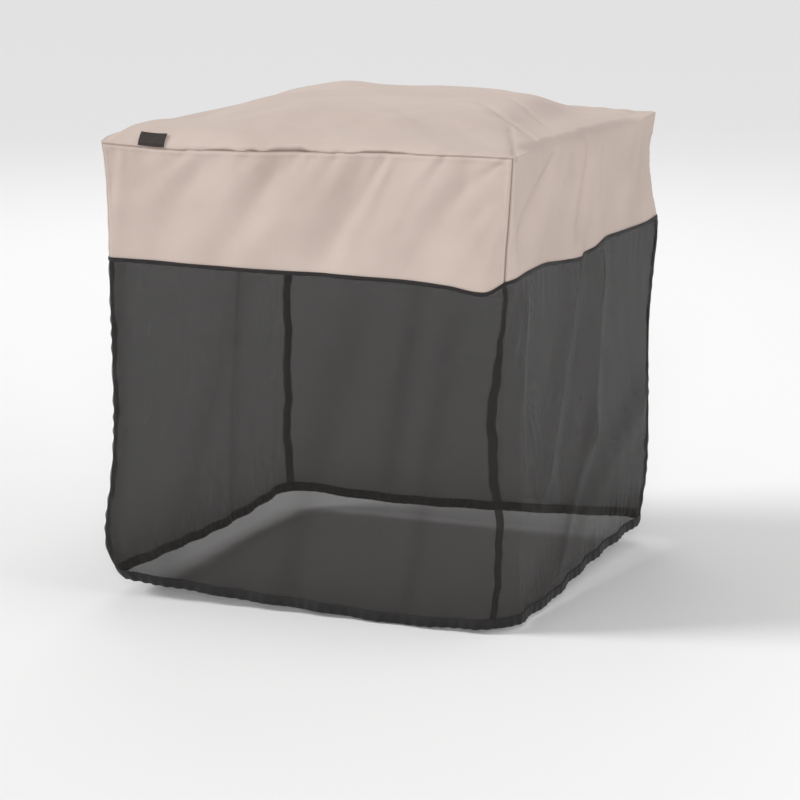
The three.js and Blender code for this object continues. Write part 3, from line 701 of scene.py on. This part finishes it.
def endPanel(side, name, node):
    w = spread(2 * capGrid["across"])
    down = spread(capGrid["endRows"], capGrid["pinch"])[:, None]
    grid = wall(side, w[None, :], dropDepths(side, w[None, :], down))
    fromTop, columns = clothRun(grid, 0), clothRun(grid, 1)
    fromCorner = np.minimum(columns, columns[:, -1:] - columns)
    d = np.minimum(fromTop, fromCorner)
    along = np.where(fromTop < fromCorner, grid[..., 0], -grid[..., 2])
    grid = grid + gridNormals(grid) * seamRelief(d, along)[..., None]
    # painted shade along the seams
    obj = sheetMesh(name, grid, sheetLengths(grid), {"seam": np.exp(-((d / seamDip["line"]) ** 2))})
    thicken(obj, cover["capThick"])
    finishPiece(obj, tanCloth, [node])


centreStrip()
endPanel(0, "capFront", "cap_front")
endPanel(2, "capBack", "cap_back")
print("cap made")

# net: four panels, with the doubled seams at the corners and the gathered hem
net = {
    "across": 190, "rows": 130, "underCap": 0.5, "aboveHem": 4.0, "slack": 1.1,
    "seamWidth": 6.0, "seamDense": [0.9, 0.2, 0.9, 0.9],  # by corner
    "hemDense": 0.75, "hemDenseReach": 46.0,
    "grain": [0, 0, 33, 33],  # by side, degrees
    "pucker": 1.8, "puckerWaves": (33.0, 1.7, 47.0), "puckerReach": 70.0, "puckerTop": 0.25,
    "puckerEdge": 30.0,
}
netShade = [
    # gathered places that look darker: side, start t and z, end t and z, width, amount
    (0, -140, -300, -300, -860, 24, 0.2), (0, 120, -300, -40, -860, 30, 0.22),
    (0, 330, -330, 240, -860, 20, 0.25), (0, -405, -260, -415, -860, 16, 0.5),
    (1, -50, -250, -120, -448, 13, 0.55), (1, -120, -448, -218, -650, 15, 0.5),
    (1, 102, -300, 63, -530, 11, 0.5), (1, 63, -530, -140, -820, 15, 0.45),
    (1, 385, -610, -209, -876, 60, 0.35),
    (2, 90, -280, 190, -840, 22, 0.3), (3, -220, -280, -150, -840, 22, 0.3),
]
hem = {
    "across": 330, "rows": 9, "thick": 3.0, "slack": 0.6, "out": 0.4, "edge": 20.0,
    "gather": 1.0, "gatherUp": 0.4, "gatherWaves": (27.0, 1.6, 57.0),
    "dip": 0.4, "dipPitch": 24.3,  # of the lower edge
}
sideNames = ["Front", "Right", "Back", "Left"]


def netPanel(side):
    w = spread(net["across"])[None, :]
    t = placeOn(w)
    upper = readTable(capEdge[side], t) + net["underCap"]
    lower = readTable(hemLine[side], t) + net["aboveHem"]
    down = np.linspace(0, 1, net["rows"])[:, None]
    z = upper + (lower - upper) * down
    grid = wall(side, w, z, net["slack"])
    edge = soften(0, net["puckerEdge"], np.minimum(t + half, half - t))
    pucker = edge * gathers(t, *net["puckerWaves"], side)
    rise = np.exp(-((z - lower) / net["puckerReach"]) ** 2)
    rise = rise + net["puckerTop"] * np.exp(-((upper - z) / net["puckerReach"]) ** 2)
    grid = grid + gridNormals(grid) * (net["pucker"] * pucker * rise)[..., None]
    columns = clothRun(grid, 1)
    dense = net["hemDense"] * np.exp(-np.maximum(z - lower, 0) / net["hemDenseReach"])
    for corner, d in ((side, columns), ((side + 1) % 4, columns[:, -1:] - columns)):
        atSeam = soften(net["seamWidth"], net["seamWidth"] - 4, d)
        dense = np.maximum(dense, net["seamDense"][corner] * atSeam)
    for fold in netShade:
        if fold[0] == side:
            dense = dense + fold[6] * foldShape(np.broadcast_to(t, z.shape), z, *fold[1:6])
    name = "net" + sideNames[side]
    grain = math.radians(net["grain"][side])
    turned = np.array([[math.cos(grain), math.sin(grain)], [-math.sin(grain), math.cos(grain)]])
    obj = sheetMesh(name, grid, sheetLengths(grid) @ turned, {"dense": np.clip(dense, 0, 1)})
    finishPiece(obj, blackNet, ["mesh_" + sideNames[side].lower()])
    return obj


def hemBand(side):
    # the elastic's channel: a doubled band, ruffled in short gathers
    w = np.linspace(0, 1, hem["across"])[None, :]
    t = placeOn(w)
    lower = readTable(hemLine[side], t)
    share = np.linspace(0, 1, hem["rows"])[:, None]
    z = lower + cover["hemHeight"] * share
    grid = wall(side, w, z, hem["slack"])
    puff = hem["thick"] * 0.5 * np.sin(math.pi * share)
    gather = hem["gather"] * gathers(t, *hem["gatherWaves"], start=side)
    edge = soften(0, hem["edge"], np.minimum(t + half, half - t))
    low = np.cos(math.pi * share / 2) ** 2
    out = hem["out"] + puff + gather * edge * (hem["gatherUp"] + (1 - hem["gatherUp"]) * low)
    grid = grid + gridNormals(grid) * out[..., None]
    wave = np.sin(2 * math.pi * t / hem["dipPitch"] + 2 * side)
    grid[..., 2] += hem["dip"] * edge * wave * (1 - share)
    obj = sheetMesh("hem" + sideNames[side], grid, sheetLengths(grid))
    thicken(obj, hem["thick"], offset=0.0)
    finishPiece(obj, hemCloth)
    return obj


# corner seams of the net: a folded allowance that lies on the corner, a little ruffled
seamStrip = {
    "rows": 200, "columns": 9, "raise": 1.3, "ruffle": 1.3, "underCap": 2.0, "aboveHem": 6.0,
    # by corner: height, where the strip starts and ends beside the corner, below zero on the side before it
    "spans": [
        [(-915, -7, 17), (-700, -6, 14), (-450, -6, 16), (-240, -5, 12)],
        [(-920, -21, -7), (-800, -14, 0), (-694, -13, 3), (-557, -29, -9), (-419, -22, -5), (-321, -6, 4),
         (-243, -5, 5)],
        [(-915, -18, 7), (-500, -20, 5), (-330, -28, 5), (-240, -24, 5)],
        [(-915, -8, 12), (-240, -6, 12)],
    ],
}


def cornerSeam(corner):
    before = (corner + 3) % 4
    share = np.linspace(0, 1, seamStrip["rows"])[:, None]
    upper = readTable(capEdge[corner], -half) - seamStrip["underCap"]
    lower = readTable(hemLine[corner], -half) + seamStrip["aboveHem"]
    z = upper + (lower - upper) * share
    start, end = (readTable(seamStrip["spans"][corner], z, c) for c in (1, 2))
    steps = np.linspace(0, 1, seamStrip["columns"])[None, :]
    beside = start + (end - start) * (steps + 0.12 * np.sin(z / 23 + corner) + 0.07 * np.sin(z / 9))
    onBefore = wall(before, np.clip(1 + beside / fullSide, 0, 1), z)
    onAfter = wall(corner, np.clip(beside / fullSide, 0, 1), z)
    grid = np.where((beside < 0)[..., None], onBefore, onAfter)
    normal = gridNormals(grid)
    rim = np.abs(2 * steps - 1)
    flutter = seamStrip["ruffle"] * rim * np.sin(z / 6.5 + 2.2 * np.sin(z / 31) + corner)
    grid = grid + normal * (seamStrip["raise"] + flutter)[..., None]
    dense = 0.6 + 0.4 * rim ** 3 + 0 * z
    obj = sheetMesh(f"netSeam{corner}", grid, sheetLengths(grid), {"dense": dense})
    finishPiece(obj, blackNet)
    return obj


for sideIndex in range(4):
    panel, band, seam = netPanel(sideIndex), hemBand(sideIndex), cornerSeam(sideIndex)
print("net made")

# binding tape over the joint of cap and net
tape = {"across": 240, "upper": 2.0, "lower": -5.5, "rows": 7, "raise": 1.5, "thick": 1.2, "crown": 0.7}


def bindingTape(side):
    w = spread(tape["across"])[None, :]
    t = placeOn(w)
    share = np.linspace(0, 1, tape["rows"])[:, None]
    edge = readTable(capEdge[side], t)
    # the lower edge wanders a little, and the face ripples
    lower = tape["lower"] + 0.4 * np.sin(t / 23 + side) + 0.15 * np.sin(t / 7)
    z = edge + tape["upper"] + (lower - tape["upper"]) * share
    grid = wall(side, w, z)
    out = tape["raise"] + tape["crown"] * np.sin(math.pi * share) + 0.3 * np.sin(t / 9 + 3 * share)
    grid = grid + gridNormals(grid) * out[..., None]
    obj = sheetMesh("binding" + sideNames[side], grid, sheetLengths(grid))
    thicken(obj, tape["thick"], offset=0.0)
    finishPiece(obj, tapeCloth, ["binding_" + sideNames[side].lower()])


for sideIndex in range(4):
    bindingTape(sideIndex)
print("binding made")

# plain woven label, sewn into the front seam
label = {
    "left": -357.0, "right": -299.5, "height": 29.0, "thick": 0.8, "columns": 40, "rows": 24,
    "raise": 2.3, "tipUp": 1.6, "sidesUp": 0.7,
    "pathFrom": 0.5, "pathTo": 60.0, "pathRows": 240,  # behind the front seam
}


def labelPatch():
    # the label lies along the cloth's slope behind the seam
    x = np.linspace(label["left"], label["right"], label["columns"])[None, :]
    y = np.linspace(label["pathFrom"], label["pathTo"], label["pathRows"])[:, None] - half
    path = np.stack(np.broadcast_arrays(x, y, topHeight(x, y)), -1)
    lengths = clothRun(path, 0)
    wanted = np.linspace(0, label["height"], label["rows"])
    grid = np.zeros((label["rows"], label["columns"], 3))
    for j in range(label["columns"]):
        for axis in range(3):
            grid[:, j, axis] = np.interp(wanted, lengths[:, j], path[:, j, axis])
    share = np.linspace(0, 1, label["rows"])[:, None]
    across = np.linspace(-1, 1, label["columns"])[None, :]
    grid[..., 1] -= rollLean(grid[..., 0], wanted[:, None])
    relief = np.maximum(seamRelief(wanted[:, None], grid[..., 0] - grid[..., 2]), 0)
    lift = label["raise"] + relief + label["tipUp"] * share ** 2 + label["sidesUp"] * np.abs(across) ** 6
    grid = grid + gridNormals(grid) * lift[..., None]
    obj = sheetMesh("labelPatch", grid, sheetLengths(grid))
    thicken(obj, label["thick"], offset=0.0)
    finishPiece(obj, labelCloth, ["label_patch"])


labelPatch()
print("label made")

# camera at the photograph's angle, pale floor, soft studio light
view = {
    "place": (2.4954, -5.9811, 0.6856), "azimuth": 22.428, "elevation": 11.565,
    "lens": 141.6, "sensor": 36.0,
}
camera = bpy.data.cameras.new("camera")
camera.lens = view["lens"]
camera.sensor_width = view["sensor"]
camera.clip_end = 100.0
cameraObject = bpy.data.objects.new("camera", camera)
cameraObject.location = view["place"]
cameraObject.rotation_euler = (math.radians(90 - view["elevation"]), 0, math.radians(view["azimuth"]))
bpy.context.scene.collection.objects.link(cameraObject)
bpy.context.scene.camera = cameraObject

studio = {
    "floor": -1.0, "floorSize": 60.0, "floorColor": (0.80, 0.80, 0.80, 1), "floorRoughness": 0.9,
    "sky": (1, 1, 1, 1), "skyPower": 0.43,
    "aim": (0, 0, -0.3),
}
clearSelection()
bpy.ops.mesh.primitive_plane_add(size=studio["floorSize"], location=(0, 0, studio["floor"]))
floor = bpy.context.active_object
floor.name = "floor"
floorMaterial, *_, floorShader = newMaterial("paleFloor")
floorShader.inputs["Base Color"].default_value = studio["floorColor"]
floorShader.inputs["Roughness"].default_value = studio["floorRoughness"]
floor.data.materials.append(floorMaterial)

world = bpy.data.worlds.new("studio")
world.use_nodes = True
background = world.node_tree.nodes["Background"]
background.inputs["Color"].default_value = studio["sky"]
background.inputs["Strength"].default_value = studio["skyPower"]
bpy.context.scene.world = world

lamps = [
    # name, kind, place, size in metres or degrees, power
    ("keyLamp", "SUN", (-4.8, -2.0, 2.8), 22, 2.35),
    ("fillLamp", "SUN", (2.1, -5.2, 1.5), 18, 1.45),
    ("sideLamp", "AREA", (5.6, -0.8, 1.0), 2.5, 84),
    ("topLamp", "AREA", (0.6, 0.2, 4.2), 1.6, 22),
    ("backLamp", "AREA", (-2.4, 4.5, 3.2), 3.0, 60),
]
for lampName, kind, place, size, power in lamps:
    lamp = bpy.data.lights.new(lampName, kind)
    if kind == "SUN":
        lamp.angle = math.radians(size)
    else:
        lamp.size = size
    lamp.energy = power
    lampObject = bpy.data.objects.new(lampName, lamp)
    lampObject.location = place
    dx, dy, dz = np.array(studio["aim"]) - np.array(place)
    tilt, turn = math.atan2(math.hypot(dx, dy), -dz), math.atan2(dy, dx) - math.pi / 2
    lampObject.rotation_euler = (tilt, 0, turn)
    bpy.context.scene.collection.objects.link(lampObject)
bpy.context.scene.view_settings.view_transform = "Standard"
print("studio made")
